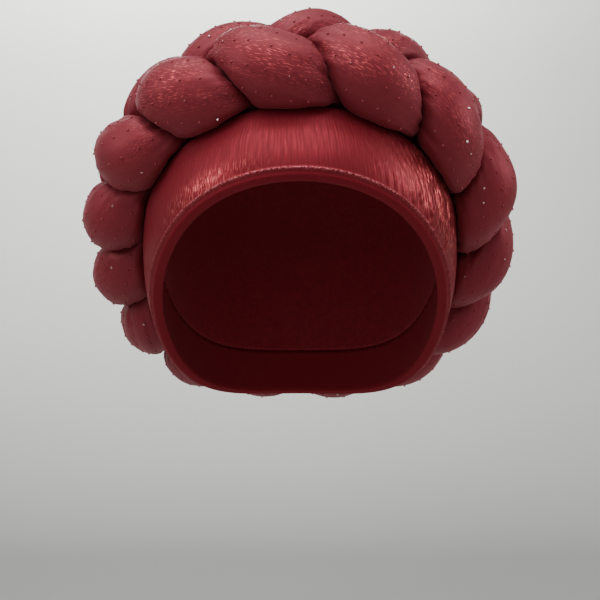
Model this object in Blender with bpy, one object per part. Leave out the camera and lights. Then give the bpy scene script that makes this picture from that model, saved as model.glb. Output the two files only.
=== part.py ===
"""A ready-made braided turban: a soft crown, a padded head band and a thick plait of three stuffed strands.

Metres, +Z up, +X to the wearer's left and -Y to the front. The origin is the inside of the crown's top,
where the turban sits on the head.
"""

import math

import bmesh
import bpy
import numpy as np

# The hollow for the head: its greatest width and length, and how far its widest level lies below the top.
HEAD_WIDTH = 0.146
HEAD_LENGTH = 0.190
HEAD_RISE = 0.076
HEAD_DROP = 0.128
HEAD_SQUARENESS = 2.05

# The crown's cloth, and the padded band with its rolled top edge and hem.
CROWN_WALL = 0.0020
BAND_WALL = 0.0066
HEM_ROLL = 0.0060
TOP_ROLL = 0.0045
SEAM_GAP = 0.0005

# The hem, the band's top edge and the plait's middle line are each the cut of a slanting plane across the
# head. Each plane bends level again on its way to the nape, the hem from in front of the ears.
HEM_FRONT_DROP = 0.0570
HEM_TILT = math.radians(38.0)
HEM_BEND_START = 0.010
BAND_TOP_FRONT_DROP = 0.0225
BAND_TOP_TILT = math.radians(43.2)
BAND_TOP_BEND_START = 0.025
BRAID_FRONT_DROP = 0.0099
BRAID_TILT = math.radians(44.1)
BRAID_BEND_START = 0.040
NAPE_BEND = 8.0

# Reach is how far a strand swings to each side of the plait's middle line. Lift is how far it climbs over
# the others and dips under them, from the height at which the middle line stands off the head.
STRANDS = 3
BRAID_TURNS = 5
BRAID_REACH = 0.0180
BRAID_LIFT = 0.0060
BRAID_HEIGHT_FRONT = 0.0134
BRAID_HEIGHT_NAPE = 0.0166

# The plait was pulled tighter in some places than in others. Each wave shifts its crossings along the ring.
BRAID_START = math.radians(82.6)
PACE_WAVES = (
    # waves around the ring, shift at the front, shift at the wearer's left
    (1, math.radians(13.6), math.radians(-35.8)),
    (2, 0.0, math.radians(15.9)),
)

# A strand is fullest where it lies on top and leanest where it dives under.
STRAND_RADIUS_FRONT = 0.0181
STRAND_RADIUS_NAPE = 0.0154
STRAND_LEAN = 0.124
STRAND_FULL_PHASE = math.radians(71.0)
STRAND_GAP = 0.0022
STRAND_SOFTNESS = 0.0050
CLOTH_GAP = 0.0008

# Mesh density, and how finely the strands' shapes are searched.
BAND_SECTIONS = 48
BAND_SIDES = 16
CROWN_SECTIONS = 48
CROWN_RINGS = 7
STRAND_SECTIONS = 108
STRAND_SIDES = 14
LINE_SAMPLES = 720
NEAR_SAMPLES = 100
MARCH_STEPS = 26
MARCH_LENGTH = 0.0010
BISECTIONS = 30
FINE_BISECTIONS = 8
SPIKE_PASSES = 2

HEAD_CENTRE = np.array([0.0, 0.0, -HEAD_RISE])
FULL_TURN = 2.0 * math.pi
QUARTER_TURN = 0.5 * math.pi

CRIMSON = (0.270, 0.011, 0.020, 1.0)
CRIMSON_LUREX = (0.330, 0.013, 0.022, 1.0)


def plane_normal(tilt):
    """The upward normal of a plane across the head that drops towards the nape by this tilt."""
    return np.array([0.0, math.sin(tilt), math.cos(tilt)])


def braid_frame():
    """The ring's axis, its front and its side."""
    front = np.array([0.0, -math.cos(BRAID_TILT), math.sin(BRAID_TILT)])
    return plane_normal(BRAID_TILT), front, np.array([1.0, 0.0, 0.0])


def directions(around, down):
    """Unit vectors from the head's centre: around the ring's axis from the front, and down from that axis."""
    axis, front, side = braid_frame()
    around, down = np.broadcast_arrays(around, down)
    level = np.cos(around)[..., None] * front + np.sin(around)[..., None] * side
    return np.cos(down)[..., None] * axis + np.sin(down)[..., None] * level


def angle_down(points):
    """The angle down from the ring's axis of points given from the head's centre."""
    axis, front, _ = braid_frame()
    return np.arctan2(np.hypot(points[..., 0], points @ front), points @ axis)


def head_share(points, grow):
    """1 on the head form grown by this much, less inside it and more outside."""
    rise = np.where(points[..., 2] > 0.0, HEAD_RISE, HEAD_DROP) + grow
    total = (
        np.abs(points[..., 0] / (HEAD_WIDTH / 2 + grow)) ** HEAD_SQUARENESS
        + np.abs(points[..., 1] / (HEAD_LENGTH / 2 + grow)) ** HEAD_SQUARENESS
        + np.abs(points[..., 2] / rise) ** HEAD_SQUARENESS
    )
    return total ** (1.0 / HEAD_SQUARENESS)


def on_head(around, down, grow):
    """Points, from the head's centre, on the head form grown by this much."""
    ray = directions(around, down)
    return ray / head_share(ray, grow)[..., None]


def bent_level(points, tilt, bend_start):
    """How high points stand above the head's centre, measured square to a plane that bends past bend_start."""
    behind = np.maximum(points[..., 1] - bend_start, 0.0)
    return points @ plane_normal(tilt) - math.sin(tilt) * NAPE_BEND * behind**2


def cut_down(around, front_drop, tilt, bend_start):
    """The angle down at which the head form meets the plane that crosses the forehead this far below the top."""
    height = HEAD_RISE - front_drop
    ahead = (1.0 - (height / HEAD_RISE) ** HEAD_SQUARENESS) ** (1.0 / HEAD_SQUARENESS)
    level = plane_normal(tilt) @ np.array([0.0, -ahead * HEAD_LENGTH / 2, height])
    low = np.zeros_like(around)
    high = np.full_like(around, math.radians(170.0))
    for _ in range(BISECTIONS):
        middle = (low + high) / 2
        above = bent_level(on_head(around, middle, 0.0), tilt, bend_start) > level
        low = np.where(above, middle, low)
        high = np.where(above, high, middle)
    return (low + high) / 2


def band_top(around):
    return cut_down(around, BAND_TOP_FRONT_DROP, BAND_TOP_TILT, BAND_TOP_BEND_START)


def loft(name, around_count, along_count, place, material):
    """A grid bent to the points that place gives for its two shares, with its meeting sides welded."""
    bm = bmesh.new()
    bmesh.ops.create_grid(bm, x_segments=around_count, y_segments=along_count, size=0.5)
    shares = np.array([vertex.co[:2] for vertex in bm.verts], dtype=float) + 0.5
    for vertex, point in zip(bm.verts, place(shares[:, 0], shares[:, 1]) + HEAD_CENTRE):
        vertex.co = point
    bmesh.ops.remove_doubles(bm, verts=bm.verts, dist=1e-6)
    bmesh.ops.recalc_face_normals(bm, faces=bm.faces)
    mesh = bpy.data.meshes.new(name)
    bm.to_mesh(mesh)
    bm.free()
    mesh.shade_smooth()
    mesh.materials.append(material)
    piece = bpy.data.objects.new(name, mesh)
    bpy.context.scene.collection.objects.link(piece)
    return piece


def crown(material):
    """The soft crown: a dome of cloth from its top down to the band's upper edge, and back up inside."""
    steps = 2 * CROWN_RINGS + 1

    def place(around_share, along_share):
        around = FULL_TURN * around_share
        step = np.round(along_share * steps)
        edge = band_top(around) - SEAM_GAP / (HEAD_LENGTH / 2)
        down = edge * np.minimum(step, steps - step) / CROWN_RINGS
        return on_head(around, down, np.where(step <= CROWN_RINGS, CROWN_WALL, 0.0))

    return loft("crown", CROWN_SECTIONS, steps, place, material)


def band_section(share, length):
    """The band's section at this share of the way round it: distance below its top edge, and share of its wall.

    The first quarter rolls over the top edge, the next goes down the outside, the third rolls under the hem
    and the last goes back up inside.
    """
    quarter = np.clip(np.stack([share, share - 0.25, share - 0.5, share - 0.75]), 0.0, 0.25) * 4.0
    below = (
        TOP_ROLL * (1.0 - np.cos(quarter[0] * QUARTER_TURN))
        + (length - TOP_ROLL - HEM_ROLL) * quarter[1]
        + HEM_ROLL * np.sin(quarter[2] * QUARTER_TURN)
        - length * quarter[3]
    )
    wall = np.sin(quarter[0] * QUARTER_TURN) * np.cos(quarter[2] * QUARTER_TURN)
    return below, wall


def head_band(material):
    """The padded band, from its top edge at the crown down to its rolled hem on the forehead and the nape."""

    def place(around_share, along_share):
        around = FULL_TURN * around_share
        top = band_top(around)
        hem = cut_down(around, HEM_FRONT_DROP, HEM_TILT, HEM_BEND_START)
        length = np.linalg.norm(on_head(around, top, 0.0) - on_head(around, hem, 0.0), axis=-1)
        below, wall = band_section(along_share, length)
        return on_head(around, top + (hem - top) * below / length, BAND_WALL * wall)

    return loft("head_band", BAND_SECTIONS, BAND_SIDES, place, material)


def front_to_nape(around, at_front, at_nape):
    return at_front + (at_nape - at_front) * (0.5 - 0.5 * np.cos(around))


def strand_line(strand, around):
    """A strand's middle line, from the head's centre, and its free radius there."""
    phase = BRAID_TURNS * around + FULL_TURN * strand / STRANDS + BRAID_START
    for waves, front_shift, side_shift in PACE_WAVES:
        phase = phase + front_shift * np.cos(waves * around) + side_shift * np.sin(waves * around)
    height = front_to_nape(around, BRAID_HEIGHT_FRONT, BRAID_HEIGHT_NAPE)
    middle = cut_down(around, BRAID_FRONT_DROP, BRAID_TILT, BRAID_BEND_START)
    arm = np.linalg.norm(on_head(around, middle, height), axis=-1)
    down = middle + BRAID_REACH * np.sin(phase) / arm
    lean = STRAND_LEAN * (0.5 - 0.5 * np.cos(2.0 * (phase - STRAND_FULL_PHASE)))
    radius = front_to_nape(around, STRAND_RADIUS_FRONT, STRAND_RADIUS_NAPE) * (1.0 - lean)
    return on_head(around, down, height + BRAID_LIFT * np.sin(2.0 * phase)), radius


def soft_smaller(first, second, softness):
    """The smaller of two lengths, with the change from one to the other rounded."""
    mix = np.clip(0.5 + 0.5 * (second - first) / softness, 0.0, 1.0)
    return second + (first - second) * mix - softness * mix * (1.0 - mix)


def without_spikes(lengths):
    """Lengths around and along a strand, each drawn in where it stands out from its neighbours."""
    for _ in range(SPIKE_PASSES):
        for way in (0, 1):
            blurred = (np.roll(lengths, 1, axis=way) + 2.0 * lengths + np.roll(lengths, -1, axis=way)) / 4.0
            lengths = np.minimum(lengths, blurred)
    return lengths


def reach_along(rays, centres, free):
    """How far each ray gets from its centre before it leaves the free space: marched first, then halved."""
    low = np.zeros(rays.shape[:-1])
    moving = np.ones(rays.shape[:-1], dtype=bool)
    for step in range(1, MARCH_STEPS + 1):
        moving &= free(centres[:, None] + rays * (step * MARCH_LENGTH))
        low = np.where(moving, step * MARCH_LENGTH, low)
    high = low + MARCH_LENGTH
    for _ in range(FINE_BISECTIONS):
        middle = (low + high) / 2
        inside = free(centres[:, None] + rays * middle[..., None])
        low = np.where(inside, middle, low)
        high = np.where(inside, high, middle)
    return low


def strand_rings(strand, sections, sides):
    """A stuffed strand as rings of points: round where it is free, flattened on its neighbours and the head."""
    samples = np.arange(LINE_SAMPLES) * FULL_TURN / LINE_SAMPLES
    around = np.arange(sections) * FULL_TURN / sections
    centres, radius = strand_line(strand, around)
    near = np.round(np.arange(sections) * LINE_SAMPLES / sections).astype(int)[:, None]
    near = (near + np.arange(-NEAR_SAMPLES, NEAR_SAMPLES + 1)) % LINE_SAMPLES
    lines = [strand_line(other, samples) for other in range(STRANDS)]
    order = [strand] + [other for other in range(STRANDS) if other != strand]
    nearby = [(lines[other][0][near], lines[other][1][near]) for other in order]

    outward = centres / np.linalg.norm(centres, axis=-1)[:, None]
    along = np.roll(centres, -1, axis=0) - np.roll(centres, 1, axis=0)
    across = np.cross(along, outward)
    across /= np.linalg.norm(across, axis=-1)[:, None]
    outward = np.cross(across, along)
    outward /= np.linalg.norm(outward, axis=-1)[:, None]
    angle = np.arange(sides) * FULL_TURN / sides
    rays = (
        np.cos(angle)[None, :, None] * outward[:, None] + np.sin(angle)[None, :, None] * across[:, None]
    )

    def shares(points):
        """How far points are from each strand's middle line, this one first, as shares of its radius there."""
        found = []
        for line, thick in nearby:
            gaps = np.linalg.norm(points[:, :, None, :] - line[:, None, :, :], axis=-1)
            found.append((gaps / thick[:, None, :]).min(axis=-1))
        return found

    def in_own_round(points):
        return shares(points)[0] < 1.0

    def clear_of_others(points):
        own, *others = shares(points)
        return (np.minimum.reduce(others) - own) * radius[:, None] > STRAND_GAP

    edge = band_top(around)[:, None]

    def clear_of_cap(points):
        ramp = np.clip(1.0 + (angle_down(points) - edge) * HEAD_LENGTH / 2 / TOP_ROLL, 0.0, 1.0)
        level = CROWN_WALL + (BAND_WALL - CROWN_WALL) * ramp
        return head_share(points, level + CLOTH_GAP) > 1.0

    side = soft_smaller(
        reach_along(rays, centres, in_own_round), reach_along(rays, centres, clear_of_others), STRAND_SOFTNESS
    )
    lengths = soft_smaller(side, reach_along(rays, centres, clear_of_cap), STRAND_SOFTNESS)
    return centres, rays, without_spikes(lengths)


def braid_strand(strand, material):
    """One of the plait's three stuffed strands, a closed loop woven over and under the other two."""
    centres, rays, lengths = strand_rings(strand, STRAND_SECTIONS, STRAND_SIDES)
    points = centres[:, None] + rays * lengths[..., None]

    def place(around_share, along_share):
        section = np.round(around_share * STRAND_SECTIONS).astype(int) % STRAND_SECTIONS
        side = np.round(along_share * STRAND_SIDES).astype(int) % STRAND_SIDES
        return points[section, side]

    return loft(f"braid_strand_{strand + 1}", STRAND_SECTIONS, STRAND_SIDES, place, material)


def cloth_material(name, colour, roughness):
    material = bpy.data.materials.new(name)
    material.use_nodes = True
    shader = material.node_tree.nodes["Principled BSDF"]
    shader.inputs["Base Color"].default_value = colour
    shader.inputs["Roughness"].default_value = roughness
    shader.inputs["Sheen Weight"].default_value = 0.3
    return material


def main():
    for piece in list(bpy.data.objects):
        bpy.data.objects.remove(piece, do_unlink=True)
    crown(cloth_material("crimson_crown_cloth", CRIMSON, 0.8))
    head_band(cloth_material("crimson_pleated_lurex", CRIMSON_LUREX, 0.45))
    strand_cloth = cloth_material("crimson_stuffed_cloth", CRIMSON, 0.6)
    for strand in range(STRANDS):
        braid_strand(strand, strand_cloth)


main()
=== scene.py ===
"""The look of a ready-made braided turban: a soft crown, a pleated head band and a plait of three strands."""

import math

import bmesh
import bpy
import numpy as np
from mathutils import Matrix, Vector


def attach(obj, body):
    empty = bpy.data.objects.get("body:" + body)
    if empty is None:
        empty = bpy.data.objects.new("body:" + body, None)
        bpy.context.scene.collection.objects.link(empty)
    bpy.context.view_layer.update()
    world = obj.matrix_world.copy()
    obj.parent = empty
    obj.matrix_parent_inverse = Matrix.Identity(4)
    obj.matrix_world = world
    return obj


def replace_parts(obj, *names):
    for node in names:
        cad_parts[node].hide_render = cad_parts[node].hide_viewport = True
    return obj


# The hollow for the head, and the walls of the crown and the band, in metres as in the CAD.
HEAD_WIDTH = 0.146
HEAD_LENGTH = 0.190
HEAD_RISE = 0.076
HEAD_DROP = 0.128
HEAD_SQUARENESS = 2.05
CROWN_WALL = 0.0020
BAND_WALL = 0.0066
HEM_ROLL = 0.0026
TOP_ROLL = 0.0045
SEAM_GAP = 0.0005

# The planes across the head that cut the hem, the band's top edge and the plait's middle line.
HEM_FRONT_DROP = 0.0570
HEM_TILT = math.radians(38.0)
HEM_BEND_START = 0.010
BAND_TOP_FRONT_DROP = 0.0225
BAND_TOP_TILT = math.radians(43.2)
BAND_TOP_BEND_START = 0.025
BRAID_FRONT_DROP = 0.0099
BRAID_TILT = math.radians(44.1)
BRAID_BEND_START = 0.040
NAPE_BEND = 8.0

# The plait.
STRANDS = 3
BRAID_TURNS = 5
BRAID_REACH = 0.0180
BRAID_LIFT = 0.0060
BRAID_HEIGHT_FRONT = 0.0134
BRAID_HEIGHT_NAPE = 0.0166
BRAID_START = math.radians(82.6)
PACE_WAVES = (
    # waves around the ring, shift at the front, shift at the wearer's left
    (1, math.radians(13.6), math.radians(-35.8)),
    (2, 0.0, math.radians(15.9)),
)
STRAND_RADIUS_FRONT = 0.0181
STRAND_RADIUS_NAPE = 0.0154
STRAND_LEAN = 0.124
STRAND_FULL_PHASE = math.radians(71.0)
STRAND_FULLNESS = 1.035
STRAND_SWAY = 0.05
STRAND_SWAY_PHASE = math.radians(65.0)
STRAND_GAP = 0.0006
STRAND_SOFTNESS = 0.0026
CLOTH_GAP = 0.0006

# How finely the strands' shapes are searched, and how finely each piece is then meshed.
SEARCHED_SECTIONS = 210
SEARCHED_SIDES = 32
LINE_SAMPLES = 504
NEAR_SAMPLES = 70
MARCH_STEPS = 15
MARCH_LENGTH = 0.0018
BISECTIONS = 30
FINE_BISECTIONS = 8
STRAND_SECTIONS = 840
STRAND_SIDES = 96
BAND_SECTIONS = 1000
BAND_SIDES = 99
CROWN_SECTIONS = 420
CROWN_RINGS = 90

# The band's stitched ridge and the strip of painted shade under it, as distances above the hem.
RIDGE_ABOVE_HEM = 0.0046
RIDGE_WIDTH = 0.00038
SHADE_STRIP_ABOVE_HEM = 0.0036
RIDGE_HEIGHT = 0.0007
GROOVE_DEPTH = 0.0006

# How far the cloth's relief goes: the band's fullness and crinkles, the crown's and the strands' unevenness.
BAND_FULLNESS = 0.0006
CRINKLE_DEPTH = 0.00042
CROWN_GATHER = 0.0021
CROWN_SLACK = 0.0004
FILLING_LUMPS = 0.00048

# The band's quads crowd where it curves: shares along the grid, and shares of the way round its section.
BAND_SPACING = (
    [0.0, 0.12, 0.46, 0.52, 0.74, 0.77, 0.89, 1.0],
    [0.0, 0.25, 0.44, 0.47, 0.496, 0.5, 0.75, 1.0],
)

# The hot-fix stones.
STONE_ROWS = 11
STONE_PITCH = 0.0054
STONE_RADIUS = 0.00080
STONE_TABLE_RADIUS = 0.00040
STONE_HEIGHT = 0.00080

# The studio: the backdrop's length from its front edge over floor, curve and wall, and where it stands.
SWEEP_LENGTH = 6.0
SWEEP_FLOOR = 4.2
SWEEP_CURVE = 1.2
SWEEP_WIDTH = 8.0
SWEEP_AHEAD = 3.2
SWEEP_BELOW = 0.48
CAMERA_AHEAD = 0.7705
CAMERA_BELOW = 0.1107

HEAD_CENTRE = np.array([0.0, 0.0, -HEAD_RISE])
FULL_TURN = 2.0 * math.pi
QUARTER_TURN = 0.5 * math.pi


# Shapes shared with the CAD


def plane_normal(tilt):
    """The upward normal of a plane across the head that drops towards the nape by this tilt."""
    return np.array([0.0, math.sin(tilt), math.cos(tilt)])


def braid_frame():
    """The ring's axis, its front and its side."""
    front = np.array([0.0, -math.cos(BRAID_TILT), math.sin(BRAID_TILT)])
    return plane_normal(BRAID_TILT), front, np.array([1.0, 0.0, 0.0])


def directions(around, down):
    """Unit vectors from the head's centre, by angle around the ring's axis and down from it."""
    axis, front, side = braid_frame()
    around, down = np.broadcast_arrays(around, down)
    level = np.cos(around)[..., None] * front + np.sin(around)[..., None] * side
    return np.cos(down)[..., None] * axis + np.sin(down)[..., None] * level


def angle_down(points):
    """The angle down from the ring's axis of points given from the head's centre."""
    axis, front, _ = braid_frame()
    return np.arctan2(np.hypot(points[..., 0], points @ front), points @ axis)


def head_share(points, grow):
    """1 on the head form grown by this much, less inside it and more outside."""
    rise = np.where(points[..., 2] > 0.0, HEAD_RISE, HEAD_DROP) + grow
    total = (
        np.abs(points[..., 0] / (HEAD_WIDTH / 2 + grow)) ** HEAD_SQUARENESS
        + np.abs(points[..., 1] / (HEAD_LENGTH / 2 + grow)) ** HEAD_SQUARENESS
        + np.abs(points[..., 2] / rise) ** HEAD_SQUARENESS
    )
    return total ** (1.0 / HEAD_SQUARENESS)


def on_head(around, down, grow):
    """Points, from the head's centre, on the head form grown by this much."""
    ray = directions(around, down)
    return ray / head_share(ray, grow)[..., None]


def bent_level(points, tilt, bend_start):
    """How high points stand, measured square to a plane that bends downwards past bend_start."""
    behind = np.maximum(points[..., 1] - bend_start, 0.0)
    return points @ plane_normal(tilt) - math.sin(tilt) * NAPE_BEND * behind**2


def cut_down(around, front_drop, tilt, bend_start):
    """The angle down at which the head form meets the plane that starts this far below the top."""
    height = HEAD_RISE - front_drop
    ahead = (1.0 - (height / HEAD_RISE) ** HEAD_SQUARENESS) ** (1.0 / HEAD_SQUARENESS)
    level = plane_normal(tilt) @ np.array([0.0, -ahead * HEAD_LENGTH / 2, height])
    low = np.zeros_like(around)
    high = np.full_like(around, math.radians(170.0))
    for _ in range(BISECTIONS):
        middle = (low + high) / 2
        above = bent_level(on_head(around, middle, 0.0), tilt, bend_start) > level
        low = np.where(above, middle, low)
        high = np.where(above, high, middle)
    return (low + high) / 2


def band_top(around):
    return cut_down(around, BAND_TOP_FRONT_DROP, BAND_TOP_TILT, BAND_TOP_BEND_START)


def band_hem(around):
    return cut_down(around, HEM_FRONT_DROP, HEM_TILT, HEM_BEND_START)


def band_section(share, length):
    """The band's section at a share of the way round: distance below its top edge, share of its wall."""
    quarter = np.clip(np.stack([share, share - 0.25, share - 0.5, share - 0.75]), 0.0, 0.25) * 4.0
    below = (
        TOP_ROLL * (1.0 - np.cos(quarter[0] * QUARTER_TURN))
        + (length - TOP_ROLL - HEM_ROLL) * quarter[1]
        + HEM_ROLL * np.sin(quarter[2] * QUARTER_TURN)
        - length * quarter[3]
    )
    wall = np.sin(quarter[0] * QUARTER_TURN) * np.cos(quarter[2] * QUARTER_TURN)
    return below, wall


def front_to_nape(around, at_front, at_nape):
    return at_front + (at_nape - at_front) * (0.5 - 0.5 * np.cos(around))


def strand_line(strand, around):
    """A strand's middle line, from the head's centre, and its free radius there."""
    phase = BRAID_TURNS * around + FULL_TURN * strand / STRANDS + BRAID_START
    for waves, front_shift, side_shift in PACE_WAVES:
        phase = phase + front_shift * np.cos(waves * around) + side_shift * np.sin(waves * around)
    height = front_to_nape(around, BRAID_HEIGHT_FRONT, BRAID_HEIGHT_NAPE)
    middle = cut_down(around, BRAID_FRONT_DROP, BRAID_TILT, BRAID_BEND_START)
    arm = np.linalg.norm(on_head(around, middle, height), axis=-1)
    down = middle + BRAID_REACH * np.sin(phase) / arm
    lean = STRAND_LEAN * (0.5 - 0.5 * np.cos(2.0 * (phase - STRAND_FULL_PHASE)))
    full = STRAND_FULLNESS * (1.0 + STRAND_SWAY * np.cos(phase - STRAND_SWAY_PHASE))
    radius = full * front_to_nape(around, STRAND_RADIUS_FRONT, STRAND_RADIUS_NAPE) * (1.0 - lean)
    return on_head(around, down, height + BRAID_LIFT * np.sin(2.0 * phase)), radius


def soft_smaller(first, second, softness):
    """The smaller of two lengths, with the change from one to the other rounded."""
    mix = np.clip(0.5 + 0.5 * (second - first) / softness, 0.0, 1.0)
    return second + (first - second) * mix - softness * mix * (1.0 - mix)


def reach_along(rays, centres, free):
    """How far each ray gets from its centre before it leaves the free space: marched first, then halved."""
    low = np.zeros(rays.shape[:-1])
    moving = np.ones(rays.shape[:-1], dtype=bool)
    for step in range(1, MARCH_STEPS + 1):
        moving &= free(centres[:, None] + rays * (step * MARCH_LENGTH))
        low = np.where(moving, step * MARCH_LENGTH, low)
    high = low + MARCH_LENGTH
    for _ in range(FINE_BISECTIONS):
        middle = (low + high) / 2
        inside = free(centres[:, None] + rays * middle[..., None])
        low = np.where(inside, middle, low)
        high = np.where(inside, high, middle)
    return low


def softened(field, passes):
    """A field around and along a strand, smoothed by its neighbours."""
    for _ in range(passes):
        for way in (0, 1):
            field = (np.roll(field, 1, axis=way) + 2.0 * field + np.roll(field, -1, axis=way)) / 4.0
    return field


def strand_rings(strand, sections, sides):
    """A stuffed strand as rings of points, with how hard each place is pressed, from 0 towards 1.

    The last field is the press of its neighbours alone, without the crown's.
    """
    samples = np.arange(LINE_SAMPLES) * FULL_TURN / LINE_SAMPLES
    around = np.arange(sections) * FULL_TURN / sections
    centres, radius = strand_line(strand, around)
    near = np.round(np.arange(sections) * LINE_SAMPLES / sections).astype(int)[:, None]
    near = (near + np.arange(-NEAR_SAMPLES, NEAR_SAMPLES + 1)) % LINE_SAMPLES
    lines = [strand_line(other, samples) for other in range(STRANDS)]
    order = [strand] + [other for other in range(STRANDS) if other != strand]
    nearby = [(lines[other][0][near], lines[other][1][near]) for other in order]

    outward = centres / np.linalg.norm(centres, axis=-1)[:, None]
    along = np.roll(centres, -1, axis=0) - np.roll(centres, 1, axis=0)
    across = np.cross(along, outward)
    across /= np.linalg.norm(across, axis=-1)[:, None]
    outward = np.cross(across, along)
    outward /= np.linalg.norm(outward, axis=-1)[:, None]
    angle = np.arange(sides) * FULL_TURN / sides
    rays = np.cos(angle)[:, None] * outward[:, None] + np.sin(angle)[:, None] * across[:, None]

    def share(points, line, thick):
        """How far points are from a strand's middle line, as shares of its radius there."""
        gaps = points[:, :, None, :] - line[:, None, :, :]
        return np.sqrt((gaps**2).sum(axis=-1) / thick[:, None, :] ** 2).min(axis=-1)

    def in_own_round(points):
        return share(points, *nearby[0]) < 1.0

    def clear_of_others(points):
        own = share(points, *nearby[0])
        others = np.minimum(share(points, *nearby[1]), share(points, *nearby[2]))
        return (others - own) * radius[:, None] > STRAND_GAP

    edge = band_top(around)[:, None]

    def clear_of_cap(points):
        ramp = np.clip(1.0 + (angle_down(points) - edge) * HEAD_LENGTH / 2 / TOP_ROLL, 0.0, 1.0)
        level = CROWN_WALL + (BAND_WALL - CROWN_WALL) * ramp
        return head_share(points, level + CLOTH_GAP) > 1.0

    free = reach_along(rays, centres, in_own_round)
    side = soft_smaller(free, reach_along(rays, centres, clear_of_others), STRAND_SOFTNESS)
    lengths = soft_smaller(side, reach_along(rays, centres, clear_of_cap), STRAND_SOFTNESS)
    for way in (0, 1):
        blurred = (np.roll(lengths, 1, axis=way) + 2.0 * lengths + np.roll(lengths, -1, axis=way)) / 4.0
        lengths = np.minimum(lengths, blurred)
    pressed = np.clip(1.0 - (lengths + STRAND_SOFTNESS / 4) / free, 0.0, 1.0)
    nipped = np.clip(1.0 - (side + STRAND_SOFTNESS / 4) / free, 0.0, 1.0)
    return centres[:, None] + rays * lengths[..., None], pressed, nipped


# Cloth relief


def finer(field, counts):
    """A field that closes on itself both ways, drawn through at these larger counts."""
    for way, count in enumerate(counts):
        field = np.moveaxis(field, way, 0)
        coarse = len(field)
        place = np.arange(count) * coarse / count
        low = np.floor(place).astype(int)
        share = (place - low).reshape((-1,) + (1,) * (field.ndim - 1))
        before, first, second, after = (field[(low + step) % coarse] for step in (-1, 0, 1, 2))
        cubic = 3 * (first - second) + after - before
        square = 2 * before - 5 * first + 4 * second - after
        field = first + 0.5 * share * (second - before + share * (square + share * cubic))
        field = np.moveaxis(field, 0, way)
    return field


def wander(rng, along, most_waves, terms=5):
    """A smooth line that wanders about 0 by about 1 and closes on itself, over shares 0 to 1."""
    total = 0.0
    for _ in range(terms):
        waves = rng.integers(1, most_waves + 1)
        total = total + math.sqrt(2.0 / terms) * np.sin(FULL_TURN * (waves * along + rng.random()))
    return total


def folds(rng, along, across, counts, slant):
    """Creases along a piece: rounded ridges with narrower valleys that come and go, about 0 by 1."""
    total = 0.0
    for count in counts:
        drift = slant * wander(rng, along, 9)
        ridge = np.sqrt(np.sin(math.pi * (count * across + drift)) ** 2 + 0.02) - 0.63
        swell = 0.5 + 0.5 * np.sin(
            FULL_TURN * (rng.integers(9, 24) * along + rng.integers(1, 4) * across + rng.random())
        )
        total = total + ridge * swell / math.sqrt(len(counts))
    return total


def lumps(rng, along, across, along_waves, across_waves, terms=14):
    """Uneven filling felt through the cloth: a soft unevenness about 0 by about 1."""
    total = 0.0
    for _ in range(terms):
        first = rng.integers(-along_waves, along_waves + 1)
        second = rng.integers(1, across_waves + 1)
        total = total + np.sin(FULL_TURN * (first * along + second * across + rng.random()))
    return total * math.sqrt(2.0 / terms)


def normals_of(points):
    """Outward unit normals of a closed tube of points given by section and side."""
    along = np.roll(points, -1, axis=0) - np.roll(points, 1, axis=0)
    across = np.roll(points, -1, axis=1) - np.roll(points, 1, axis=1)
    normal = np.cross(along, across)
    normal /= np.maximum(np.linalg.norm(normal, axis=-1), 1e-12)[..., None]
    outward = points - points.mean(axis=1, keepdims=True)
    return normal * np.sign((normal * outward).sum(axis=-1).mean())


# Pieces


def loft(name, counts, place, material, marks=None):
    """A grid bent to the points that place gives for its shares, with its meeting sides welded.

    marks gives functions of the same shares, whose values the material reads as attributes by name.
    """
    bm = bmesh.new()
    bm.loops.layers.uv.new("cloth")
    bmesh.ops.create_grid(bm, x_segments=counts[0], y_segments=counts[1], size=0.5, calc_uvs=True)
    shares = np.array([vertex.co[:2] for vertex in bm.verts], dtype=float) + 0.5
    for vertex, point in zip(bm.verts, place(shares[:, 0], shares[:, 1]) + HEAD_CENTRE):
        vertex.co = point
    for mark, press_and_painted_light in (marks or {}).items():
        bm.verts.layers.float.new(mark)
        layer = bm.verts.layers.float[mark]
        for vertex, value in zip(bm.verts, press_and_painted_light(shares[:, 0], shares[:, 1])):
            vertex[layer] = value
    bmesh.ops.remove_doubles(bm, verts=bm.verts, dist=1e-6)
    bmesh.ops.recalc_face_normals(bm, faces=bm.faces)
    mesh = bpy.data.meshes.new(name)
    bm.to_mesh(mesh)
    bm.free()
    mesh.shade_smooth()
    mesh.materials.append(material)
    piece = bpy.data.objects.new(name, mesh)
    bpy.context.scene.collection.objects.link(piece)
    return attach(piece, "root")


def at_shares(field, counts):
    """Reads a field of sections and sides at a loft's shares."""

    def read(around_share, along_share):
        section = np.round(around_share * counts[0]).astype(int) % counts[0]
        side = np.round(along_share * counts[1]).astype(int) % counts[1]
        return field[section, side]

    return read


def crown_cap(material):
    """The stretched crown: cloth drawn down under the band, with soft gathers towards the plait."""
    rng = np.random.default_rng(11)
    steps = 2 * CROWN_RINGS + 1

    def place(around_share, along_share):
        around = FULL_TURN * around_share
        step = np.round(along_share * steps)
        edge = band_top(around) - SEAM_GAP / (HEAD_LENGTH / 2)
        inward = np.minimum(step, steps - step) / CROWN_RINGS
        gather = folds(rng, inward * 0.3, around_share, (23, 37, 52), 0.8)
        gather = gather * np.clip((inward - 0.12) / 0.55, 0.0, 1.0) ** 1.5
        gather = gather * np.clip((1.0 - inward) / 0.05, 0.0, 1.0)
        slack = CROWN_SLACK * np.sin(3.0 * around + 1.0) * np.sin(math.pi * inward)
        outside = np.where(step <= CROWN_RINGS, 1.0, 0.0)
        return on_head(around, edge * inward, outside * (CROWN_WALL + CROWN_GATHER * gather + slack))

    return loft("crown_cap", (CROWN_SECTIONS, steps), place, material)


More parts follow.
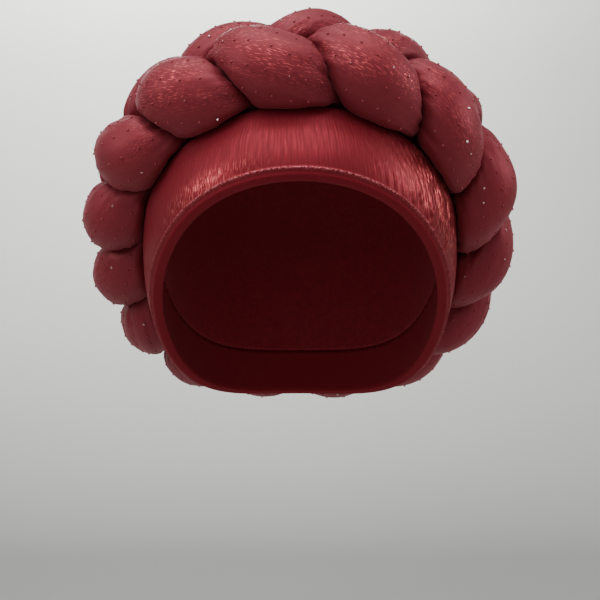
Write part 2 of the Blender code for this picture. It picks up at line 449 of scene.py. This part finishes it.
def pleated_band(material):
    """The padded band: rounded top edge, full face, crinkled pleats, stitched ridge and rolled hem."""
    rng = np.random.default_rng(5)

    def section(around_share, along_share):
        """Where a share lies: the ray's top and hem, the band's length there, the place in the section."""
        around = FULL_TURN * around_share
        top, hem = band_top(around), band_hem(around)
        length = np.linalg.norm(on_head(around, top, 0.0) - on_head(around, hem, 0.0), axis=-1)
        share = np.interp(along_share, *BAND_SPACING)
        below, wall = band_section(share, length)
        return around, top, hem, length, share, below, wall

    def turn_of(points):
        """The angle round the upright axis from the front, to the wearer's left."""
        return np.arctan2(points[..., 0], -points[..., 1])

    def crinkled(turn):
        """Where the pleats are creased by wear: past the wearer's left temple."""
        return np.exp(-(((turn - math.radians(47.0)) / math.radians(18.0)) ** 2))

    def ridge_thread_and_highlight(around_share, along_share):
        around, _, hem, length, share, below, _ = section(around_share, along_share)
        line = np.exp(-(((length - below - RIDGE_ABOVE_HEM) / RIDGE_WIDTH) ** 2))
        # Painted highlight: the ridge's thread is brightest at the front and fades towards the sides.
        turned = np.abs(turn_of(on_head(around, hem, 0.0))) / math.radians(48.0)
        line = line * np.clip(1.5 - turned, 0.2, 1.0)
        return np.where((share > 0.2) & (share < 0.52), line, 0.0)

    def glitter_and_painted_glints(around_share, along_share):
        around, _, hem, length, share, below, _ = section(around_share, along_share)
        above_hem = length - below
        turn = turn_of(on_head(around, hem, 0.0))
        # Painted glints: a patch past the wearer's left temple above the ridge, and a low patch to the right of
        # the front.
        left = crinkled(turn) * np.clip((above_hem - RIDGE_ABOVE_HEM) / 0.006, 0.0, 1.0)
        low = np.exp(-(((turn + math.radians(28.0)) / math.radians(14.0)) ** 2))
        low = low * np.exp(-(((above_hem - 0.0085) / 0.0038) ** 2))
        return np.where(share < 0.5, np.clip(left + 0.9 * low, 0.0, 1.0), 0.0)

    def matte_hem_shade(around_share, along_share):
        _, _, _, length, share, below, _ = section(around_share, along_share)
        # Painted shade under the ridge and on the inner face, where the cloth is also matte.
        strip = np.clip((SHADE_STRIP_ABOVE_HEM - (length - below)) / 0.0006, 0.0, 1.0)
        return np.where(share > 0.25, np.where(share > 0.5, 1.0, strip), 0.0)

    def place(around_share, along_share):
        around, top, hem, length, share, below, wall = section(around_share, along_share)
        points = on_head(around, top + (hem - top) * below / length, BAND_WALL * wall)
        above_hem = length - below
        outer = np.clip(share / 0.2, 0.0, 1.0) * np.clip((0.75 - share) / 0.06, 0.0, 1.0)
        wall = wall * (1.0 - 0.36 * np.clip(1.0 - above_hem / 0.015, 0.0, 1.0) ** 2)
        ridge = RIDGE_HEIGHT * np.exp(-(((above_hem - RIDGE_ABOVE_HEM) / RIDGE_WIDTH / 1.4) ** 2))
        groove = -GROOVE_DEPTH * np.exp(-(((above_hem - RIDGE_ABOVE_HEM + 0.0014) / 0.0008) ** 2))
        full = BAND_FULLNESS * np.sin(math.pi * np.clip(below / length, 0.0, 1.0))
        fold_line = 0.32 + 0.03 * np.sin(FULL_TURN * (3 * around_share + 0.1))
        fold = -0.00015 * np.exp(-(((below / length - fold_line) / 0.07) ** 2))
        turn = turn_of(points)
        lean = turn * 0.074 / 0.0034 + points[..., 2] * 62.0
        wave = np.sin(FULL_TURN * (lean + 0.16 * lumps(rng, around_share, below / length, 16, 2)))
        swell = 0.6 + 0.5 * lumps(rng, around_share, below / length, 44, 3)
        crinkle = CRINKLE_DEPTH * (0.02 + 0.98 * crinkled(turn)) * wave * np.clip(swell, 0.0, 1.3)
        crinkle = crinkle * np.clip(above_hem / 0.008, 0.0, 1.0)
        grow = BAND_WALL * wall + outer * (ridge + groove + full + fold + crinkle)
        return on_head(around, top + (hem - top) * below / length, grow)

    marks = {"ridge_thread_and_highlight": ridge_thread_and_highlight, "matte_hem_shade": matte_hem_shade, "glitter_and_painted_glints": glitter_and_painted_glints}
    return loft("pleated_band", (BAND_SECTIONS, BAND_SIDES), place, material, marks)


def stuffed_strand(strand, material):
    """One strand of the plait: a cloth tube full of wadding, creased where its neighbours nip it."""
    rng = np.random.default_rng(20 + strand)
    counts = (STRAND_SECTIONS, STRAND_SIDES)
    rings, pressed, nipped = strand_rings(strand, SEARCHED_SECTIONS, SEARCHED_SIDES)
    points = finer(rings, counts)
    hidden = finer(softened(pressed, 3), counts)
    along = np.arange(counts[0])[:, None] / counts[0] + np.zeros(counts[1])
    across = np.arange(counts[1])[None, :] / counts[1] + np.zeros(counts[0])[:, None]
    near_nip = np.clip(finer(softened(nipped, 20), counts) * 3.5, 0.0, 1.0)
    creases = folds(rng, along, across, (7, 10, 14), 1.1)
    crinkles = folds(rng, along, across, (19, 26), 1.8)
    filling = lumps(rng, along, across, 24, 3)
    gathered = near_nip**1.5
    crease_depth = 0.0002 + 0.0030 * gathered
    crinkle_depth = 0.0001 + 0.0010 * gathered
    relief = FILLING_LUMPS * filling + crease_depth * creases + crinkle_depth * crinkles
    relief = relief * np.clip(1.0 - 1.3 * hidden, 0.25, 1.0)
    points = points + normals_of(points) * relief[..., None]
    piece = loft(
        f"stuffed_strand_{strand + 1}",
        counts,
        at_shares(points, counts),
        material,
        {"pressed": at_shares(np.maximum(near_nip, hidden), counts)},
    )
    return piece, points, hidden


def hot_fix_stones(strand, points, hidden, material):
    """Rows of tiny faceted stones fixed along a strand, where it lies open."""
    rng = np.random.default_rng(40 + strand)
    normals = normals_of(points)
    sections, sides = hidden.shape
    bm = bmesh.new()
    centre = points.mean(axis=1)
    gaps = np.linalg.norm(np.roll(centre, -1, axis=0) - centre, axis=-1)
    travelled = np.concatenate([[0.0], np.cumsum(gaps)])
    for row in range(STONE_ROWS):
        count = int(travelled[-1] / STONE_PITCH)
        for number in range(count):
            distance = travelled[-1] * (number + 0.35 * (row % 2) + rng.uniform(-0.06, 0.06)) / count
            section = int(np.searchsorted(travelled, distance % travelled[-1])) % sections
            side = int(round(sides * (row + 0.5 + rng.uniform(-0.05, 0.05)) / STONE_ROWS)) % sides
            point, normal = points[section, side], normals[section, side]
            if hidden[section, side] > 0.06 or normal @ (point / np.linalg.norm(point)) < -0.35:
                continue
            spot = Vector(point + HEAD_CENTRE + STONE_HEIGHT / 4 * normal)
            turn = Vector(normal).to_track_quat("Z", "Y").to_matrix().to_4x4()
            spin = Matrix.Rotation(rng.uniform(0.0, FULL_TURN), 4, "Z")
            bmesh.ops.create_cone(
                bm,
                cap_ends=True,
                segments=7,
                radius1=STONE_RADIUS,
                radius2=STONE_TABLE_RADIUS,
                depth=STONE_HEIGHT,
                matrix=Matrix.Translation(spot) @ turn @ spin,
            )
    bmesh.ops.recalc_face_normals(bm, faces=bm.faces)
    mesh = bpy.data.meshes.new(f"hot_fix_stones_{strand + 1}")
    bm.to_mesh(mesh)
    bm.free()
    mesh.materials.append(material)
    stones = bpy.data.objects.new(f"hot_fix_stones_{strand + 1}", mesh)
    bpy.context.scene.collection.objects.link(stones)
    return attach(stones, "root")


# Materials


def linear(colour):
    """An sRGB hex colour as linear values with alpha."""
    levels = (int(colour[place : place + 2], 16) / 255 for place in (1, 3, 5))
    light = (level / 12.92 if level <= 0.04045 else ((level + 0.055) / 1.055) ** 2.4 for level in levels)
    return (*light, 1.0)


def add(tree, kind, settings=None, inputs=None):
    """Adds a node with its settings, and sets or links its inputs."""
    new = tree.nodes.new(kind)
    for name, value in (settings or {}).items():
        setattr(new, name, value)
    for name, value in (inputs or {}).items():
        if isinstance(value, bpy.types.NodeSocket):
            tree.links.new(value, new.inputs[name])
        else:
            new.inputs[name].default_value = value
    return new


def principled(name, values):
    """A new material, its node tree and its shader, with constants set on the shader's sockets."""
    material = bpy.data.materials.new(name)
    material.use_nodes = True
    shader = material.node_tree.nodes["Principled BSDF"]
    for socket, value in values.items():
        shader.inputs[socket].default_value = value
    return material, material.node_tree, shader


def arithmetic(tree, operation, *values):
    """A Math node's result for values that are numbers or sockets."""
    return add(tree, "ShaderNodeMath", {"operation": operation}, dict(enumerate(values))).outputs[0]


def span(tree, value, low=0.0, high=1.0, to_low=0.0, to_high=1.0):
    """A value mapped from one range to another and held inside it."""
    ends = {"From Min": low, "From Max": high, "To Min": to_low, "To Max": to_high}
    return add(tree, "ShaderNodeMapRange", inputs={"Value": value, **ends}).outputs["Result"]


def blend(tree, share, first, second):
    """A colour between two others."""
    colours = {"Factor": share, "A": first, "B": second}
    return add(tree, "ShaderNodeMix", {"data_type": "RGBA"}, colours).outputs["Result"]


def noise(tree, place, scale=1.0, detail=2.0, **more):
    """Smooth noise over a place."""
    settings = {"Vector": place, "Scale": scale, "Detail": detail, **more}
    return add(tree, "ShaderNodeTexNoise", inputs=settings).outputs["Fac"]


def stretched(tree, place, along, across):
    """Cloth coordinates with this many cells along the piece and across it."""
    scale = (along, across, 1.0)
    return add(tree, "ShaderNodeMapping", inputs={"Vector": place, "Scale": scale}).outputs[0]


def mesh_mark(tree, name):
    """A value that the mesh carries under this name."""
    return add(tree, "ShaderNodeAttribute", {"attribute_name": name}).outputs["Fac"]


def stuffed_lurex():
    """Satin-backed cloth with metallic thread woven in, stretched over wadding.

    The eye gets a soft pink sheen on the turned-away sides, fine bright threads that run along the strand,
    and a scatter of glints where the thread is crinkled, painted into the colour as bright dashes on the upward
    side, and painted shade where the strands nip.
    """
    material, tree, shader = principled(
        "stuffed_satin_woven_with_lurex",
        {
            "Sheen Weight": 0.25,
            "Sheen Roughness": 0.42,
            "Sheen Tint": linear("#E07C88"),
            "IOR": 1.5,
            "Specular IOR Level": 0.18,
        },
    )
    uv = add(tree, "ShaderNodeUVMap", {"uv_map": "cloth"}).outputs[0]
    press_and_painted_light = mesh_mark(tree, "pressed")
    # Threads 0.9 mm apart around the strand's 98 mm girth, coarser than the real ones so that they show.
    threads = noise(tree, stretched(tree, uv, 330.0, 104.0), detail=3.0, Roughness=0.6)
    # Crinkled metallic thread shows in broken lines about 1.5 mm long and 0.5 mm apart.
    crinkle = noise(tree, stretched(tree, uv, 500.0, 200.0))
    # It lies in patches about 30 mm long and 16 mm wide.
    patch = span(tree, noise(tree, stretched(tree, uv, 26.0, 6.0)), 0.40, 0.60)
    # The painted glints sit on the side that faces up and outwards, towards the light, where the girth's share
    # is about 0.
    shares = add(tree, "ShaderNodeSeparateXYZ", inputs={0: uv}).outputs
    girth = arithmetic(tree, "MULTIPLY_ADD", shares["Y"], FULL_TURN, -0.02 * FULL_TURN)
    facing = span(tree, arithmetic(tree, "COSINE", girth), 0.40, 0.90)
    patch = arithmetic(tree, "MULTIPLY", patch, facing)
    # The painted glints are strongest over the forehead, at both ends of the length's share.
    length = arithmetic(tree, "MULTIPLY", shares["X"], FULL_TURN)
    front = span(tree, arithmetic(tree, "COSINE", length), 0.45, 0.95, 0.2, 1.0)
    patch = arithmetic(tree, "MULTIPLY", patch, front)
    # Painted highlight: the glints brighten the base colour, besides lowering roughness, adding metal and
    # raising the bump.
    crinkle_and_painted_glint = arithmetic(tree, "MULTIPLY", span(tree, crinkle, 0.55, 0.64), patch)
    ground = blend(tree, threads, linear("#782730"), linear("#8C3039"))
    # Painted shade: the cloth is darker where the strands nip each other and press on the crown.
    ground = blend(tree, arithmetic(tree, "MULTIPLY", press_and_painted_light, 0.45), ground, linear("#561C26"))
    colour = blend(tree, crinkle_and_painted_glint, ground, linear("#DA5A5E"))
    tree.links.new(colour, shader.inputs["Base Color"])
    tree.links.new(span(tree, crinkle_and_painted_glint, to_low=0.50, to_high=0.24), shader.inputs["Roughness"])
    tree.links.new(span(tree, crinkle_and_painted_glint, to_low=0.32, to_high=0.60), shader.inputs["Metallic"])
    # Cloth gathered by the nips stands in folds about 2.5 mm wide.
    gathers = noise(tree, stretched(tree, uv, 30.0, 40.0), Distortion=0.6)
    gathers = arithmetic(tree, "MULTIPLY", gathers, press_and_painted_light)
    raised = arithmetic(tree, "MULTIPLY", threads, 0.2)
    raised = arithmetic(tree, "MULTIPLY_ADD", gathers, 1.6, raised)
    height = arithmetic(tree, "MULTIPLY_ADD", crinkle_and_painted_glint, 0.5, raised)
    bump = add(tree, "ShaderNodeBump", inputs={"Height": height, "Strength": 0.45, "Distance": 0.0005})
    tree.links.new(bump.outputs[0], shader.inputs["Normal"])
    return material


def pleated_lurex():
    """Lurex cloth set in fine pleats over a padded band.

    The eye gets thin upright lines, satin light that breaks on them, a bright stitched ridge that is partly
    painted highlight, and glints painted into the colour in two patches.
    """
    material, tree, shader = principled(
        "pleated_lurex_cloth",
        {
            "Sheen Weight": 0.06,
            "Sheen Roughness": 0.5,
            "Sheen Tint": linear("#D85A66"),
            "IOR": 1.5,
            "Specular IOR Level": 0.15,
        },
    )
    place = add(tree, "ShaderNodeTexCoord").outputs["Object"]
    axes = add(tree, "ShaderNodeSeparateXYZ", inputs={0: place}).outputs
    ahead = arithmetic(tree, "MULTIPLY", axes["Y"], -1.0)
    turn = arithmetic(tree, "ARCTAN2", axes["X"], ahead)
    drift = noise(tree, place, 55.0)
    # 400 pleats around the head put them 1.4 mm apart, and they lean outwards towards the temples.
    count = arithmetic(tree, "MULTIPLY", turn, 400.0)
    slant = arithmetic(tree, "MULTIPLY_ADD", axes["X"], 3200.0, 200.0)
    lean = arithmetic(tree, "MULTIPLY_ADD", axes["Z"], slant, count)
    lean = arithmetic(tree, "MULTIPLY_ADD", drift, 6.0, lean)
    pleat = span(tree, arithmetic(tree, "SINE", lean), -1.0, 1.0)
    # Each pleat shines along its own length for about 12 mm at a time.
    number = arithmetic(tree, "MULTIPLY", lean, 0.16)
    lengthwise = arithmetic(tree, "MULTIPLY", axes["Z"], 80.0)
    grain = noise(tree, add(tree, "ShaderNodeCombineXYZ", inputs={0: number, 1: lengthwise}).outputs[0])
    grain = span(tree, grain, 0.32, 0.68)
    colour = blend(tree, grain, linear("#7C202A"), linear("#8A2832"))
    colour = blend(tree, arithmetic(tree, "MULTIPLY", pleat, 0.24), colour, linear("#6A101A"))
    matte_hem_shade = mesh_mark(tree, "matte_hem_shade")
    # The ridge's thread shows in dashes about 1 mm long; their bright pink is partly painted highlight, full at
    # the front and fading towards the sides.
    dash = span(tree, noise(tree, place, 900.0, 1.0), 0.42, 0.58)
    thread_and_painted_highlight = arithmetic(tree, "MULTIPLY", dash, mesh_mark(tree, "ridge_thread_and_highlight"))
    # Painted shade: the strip under the ridge and the band's inner face are darker; they are also matte and
    # without metal.
    colour = blend(tree, matte_hem_shade, colour, linear("#741A24"))
    # Creased metallic thread glints in upright dashes about 3.5 mm long and 0.5 mm wide, painted into the
    # colour as bright dashes.
    glitter_and_painted_glints = mesh_mark(tree, "glitter_and_painted_glints")
    dashes = arithmetic(tree, "MULTIPLY", axes["Z"], 620.0)
    dashes = noise(tree, add(tree, "ShaderNodeCombineXYZ", inputs={0: count, 1: dashes}).outputs[0], 0.45)
    crinkle_and_painted_glint = arithmetic(tree, "MULTIPLY", span(tree, dashes, 0.50, 0.62), glitter_and_painted_glints)
    colour = blend(tree, crinkle_and_painted_glint, colour, linear("#DC6A66"))
    colour = blend(tree, thread_and_painted_highlight, colour, linear("#D8767E"))
    tree.links.new(colour, shader.inputs["Base Color"])
    metal = span(tree, grain, to_low=0.30, to_high=0.55)
    metal = arithmetic(tree, "MULTIPLY_ADD", glitter_and_painted_glints, 0.25, metal)
    metal = arithmetic(tree, "MULTIPLY", metal, arithmetic(tree, "SUBTRACT", 1.0, matte_hem_shade))
    tree.links.new(metal, shader.inputs["Metallic"])
    roughness = span(tree, grain, to_low=0.52, to_high=0.40)
    roughness = arithmetic(tree, "MULTIPLY_ADD", glitter_and_painted_glints, -0.14, roughness)
    roughness = arithmetic(tree, "MAXIMUM", roughness, matte_hem_shade)
    tree.links.new(roughness, shader.inputs["Roughness"])
    height = arithmetic(tree, "MULTIPLY_ADD", pleat, 0.4, grain)
    bump = add(tree, "ShaderNodeBump", inputs={"Height": height, "Strength": 0.22, "Distance": 0.0003})
    tree.links.new(bump.outputs[0], shader.inputs["Normal"])
    return material


def crown_jersey():
    """Knitted stretch jersey: a dull cloth whose fine wales show as faint lines from front to back."""
    material, tree, shader = principled(
        "knitted_stretch_jersey",
        {
            "Roughness": 0.80,
            "Sheen Weight": 0.16,
            "Sheen Roughness": 0.5,
            "Sheen Tint": linear("#E0808A"),
            "IOR": 1.5,
            "Specular IOR Level": 0.2,
        },
    )
    place = add(tree, "ShaderNodeTexCoord").outputs["Object"]
    axes = add(tree, "ShaderNodeSeparateXYZ", inputs={0: place}).outputs
    # The wales run from the forehead to the nape, so they are counted round that axis.
    level = arithmetic(tree, "ADD", axes["Z"], HEAD_RISE)
    roll = arithmetic(tree, "ARCTAN2", axes["X"], level)
    drift = noise(tree, place, 30.0)
    # 420 wales a turn put them 1.1 mm apart, coarser than the real ones so that they show.
    count = arithmetic(tree, "MULTIPLY", roll, 420.0)
    count = arithmetic(tree, "MULTIPLY_ADD", drift, 5.0, count)
    wales = span(tree, arithmetic(tree, "SINE", count), -1.0, 1.0)
    shade = arithmetic(tree, "MULTIPLY_ADD", wales, 0.22, noise(tree, place, 420.0, 3.0))
    tree.links.new(blend(tree, shade, linear("#641420"), linear("#8C202C")), shader.inputs["Base Color"])
    bump = add(tree, "ShaderNodeBump", inputs={"Height": shade, "Strength": 0.5, "Distance": 0.0003})
    tree.links.new(bump.outputs[0], shader.inputs["Normal"])
    return material


def stone_glass():
    """Cut glass on a foil back in the cloth's red: most stones hide on the cloth, and a few throw a sparkle,
    partly painted as a near-white colour.
    """
    material, tree, shader = principled(
        "cut_glass_on_foil",
        {
            "Metallic": 0.32,
            "IOR": 1.56,
            "Specular IOR Level": 0.3,
            "Sheen Weight": 0.16,
            "Sheen Tint": linear("#E0727E"),
        },
    )
    place = add(tree, "ShaderNodeTexCoord").outputs["Object"]
    # A few stones, in the noise's brightest spots, are glossy and get a near-white painted sparkle in their
    # colour.
    gloss_and_painted_sparkle = span(tree, noise(tree, place, 240.0), 0.62, 0.68)
    tree.links.new(span(tree, gloss_and_painted_sparkle, to_low=0.48, to_high=0.08), shader.inputs["Roughness"])
    tree.links.new(blend(tree, gloss_and_painted_sparkle, linear("#8C303A"), linear("#F4DCDC")), shader.inputs["Base Color"])
    return material


def matte_paint(name, dark, light):
    """Matte paint on smooth board, with a faint unevenness of tone."""
    material, tree, shader = principled(name, {"Roughness": 0.9, "Specular IOR Level": 0.2})
    place = add(tree, "ShaderNodeTexCoord").outputs["Object"]
    tone = noise(tree, place, 1.5)
    tree.links.new(blend(tree, tone, linear(dark), linear(light)), shader.inputs["Base Color"])
    return material


# Studio


def studio_sweep(material):
    """A pale floor that curves up into a pale backdrop."""
    bm = bmesh.new()
    bmesh.ops.create_grid(bm, x_segments=2, y_segments=40, size=1.0)
    radius = SWEEP_CURVE / QUARTER_TURN
    for vertex in bm.verts:
        run = (vertex.co.y + 1.0) / 2 * SWEEP_LENGTH
        angle = min(max((run - SWEEP_FLOOR) / SWEEP_CURVE, 0.0), 1.0) * QUARTER_TURN
        depth = min(run, SWEEP_FLOOR) + radius * math.sin(angle)
        rise = radius * (1.0 - math.cos(angle)) + max(run - SWEEP_FLOOR - SWEEP_CURVE, 0.0)
        vertex.co = (vertex.co.x * SWEEP_WIDTH / 2, depth - SWEEP_AHEAD, rise - SWEEP_BELOW)
    bmesh.ops.recalc_face_normals(bm, faces=bm.faces)
    mesh = bpy.data.meshes.new("studio_sweep")
    bm.to_mesh(mesh)
    bm.free()
    mesh.shade_smooth()
    mesh.materials.append(material)
    sweep = bpy.data.objects.new("studio_sweep", mesh)
    bpy.context.scene.collection.objects.link(sweep)


def soft_light(name, place, aim, size, watts):
    """A square white soft box at a place, turned to its aim."""
    lamp = bpy.data.lights.new(name, "AREA")
    lamp.size = size
    lamp.energy = watts
    box = bpy.data.objects.new(name, lamp)
    box.location = place
    box.rotation_euler = (Vector(aim) - Vector(place)).to_track_quat("-Z", "Y").to_euler()
    bpy.context.scene.collection.objects.link(box)


def studio():
    studio_sweep(matte_paint("matte_backdrop_paint", "#A0A19E", "#ABABA8"))
    middle = (0.0, 0.0, -0.08)
    soft_light("high_box", (-0.15, -0.30, 1.15), middle, 1.6, 27.0)
    soft_light("window_box", (1.15, -0.05, 0.30), middle, 0.6, 5.0)
    soft_light("left_box", (-1.1, -0.35, 0.35), middle, 0.6, 4.0)
    soft_light("front_box", (-0.25, -1.7, 0.30), middle, 1.1, 3.0)
    soft_light("backdrop_box", (-0.2, 1.2, 1.1), (-0.2, 1.76, 1.1), 0.6, 126.0)
    world = bpy.data.worlds.new("pale_room")
    world.use_nodes = True
    world.node_tree.nodes["Background"].inputs["Color"].default_value = linear("#E4E6E6")
    world.node_tree.nodes["Background"].inputs["Strength"].default_value = 0.43
    bpy.context.scene.world = world
    view = bpy.data.cameras.new("photo_view")
    view.lens = 90.0
    view.sensor_width = 36.0
    camera = bpy.data.objects.new("photo_view", view)
    camera.location = (0.0, -CAMERA_AHEAD, -CAMERA_BELOW)
    camera.rotation_euler = (QUARTER_TURN, 0.0, 0.0)
    bpy.context.scene.collection.objects.link(camera)
    bpy.context.scene.camera = camera


def dress():
    """Puts the cloth pieces in place of the CAD nodes that they stand for."""
    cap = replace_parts(crown_cap(crown_jersey()), "crown")
    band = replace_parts(pleated_band(pleated_lurex()), "head_band")
    cloth, glass = stuffed_lurex(), stone_glass()
    for strand in range(STRANDS):
        piece, points, hidden = stuffed_strand(strand, cloth)
        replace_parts(piece, f"braid_strand_{strand + 1}")
        hot_fix_stones(strand, points, hidden, glass)


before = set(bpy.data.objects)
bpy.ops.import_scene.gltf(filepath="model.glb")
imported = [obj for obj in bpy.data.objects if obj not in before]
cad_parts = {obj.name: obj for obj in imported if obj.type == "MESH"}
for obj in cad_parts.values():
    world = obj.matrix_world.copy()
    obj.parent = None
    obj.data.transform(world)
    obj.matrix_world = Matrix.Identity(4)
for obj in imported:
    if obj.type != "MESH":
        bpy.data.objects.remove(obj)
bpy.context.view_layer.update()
dress()
studio()
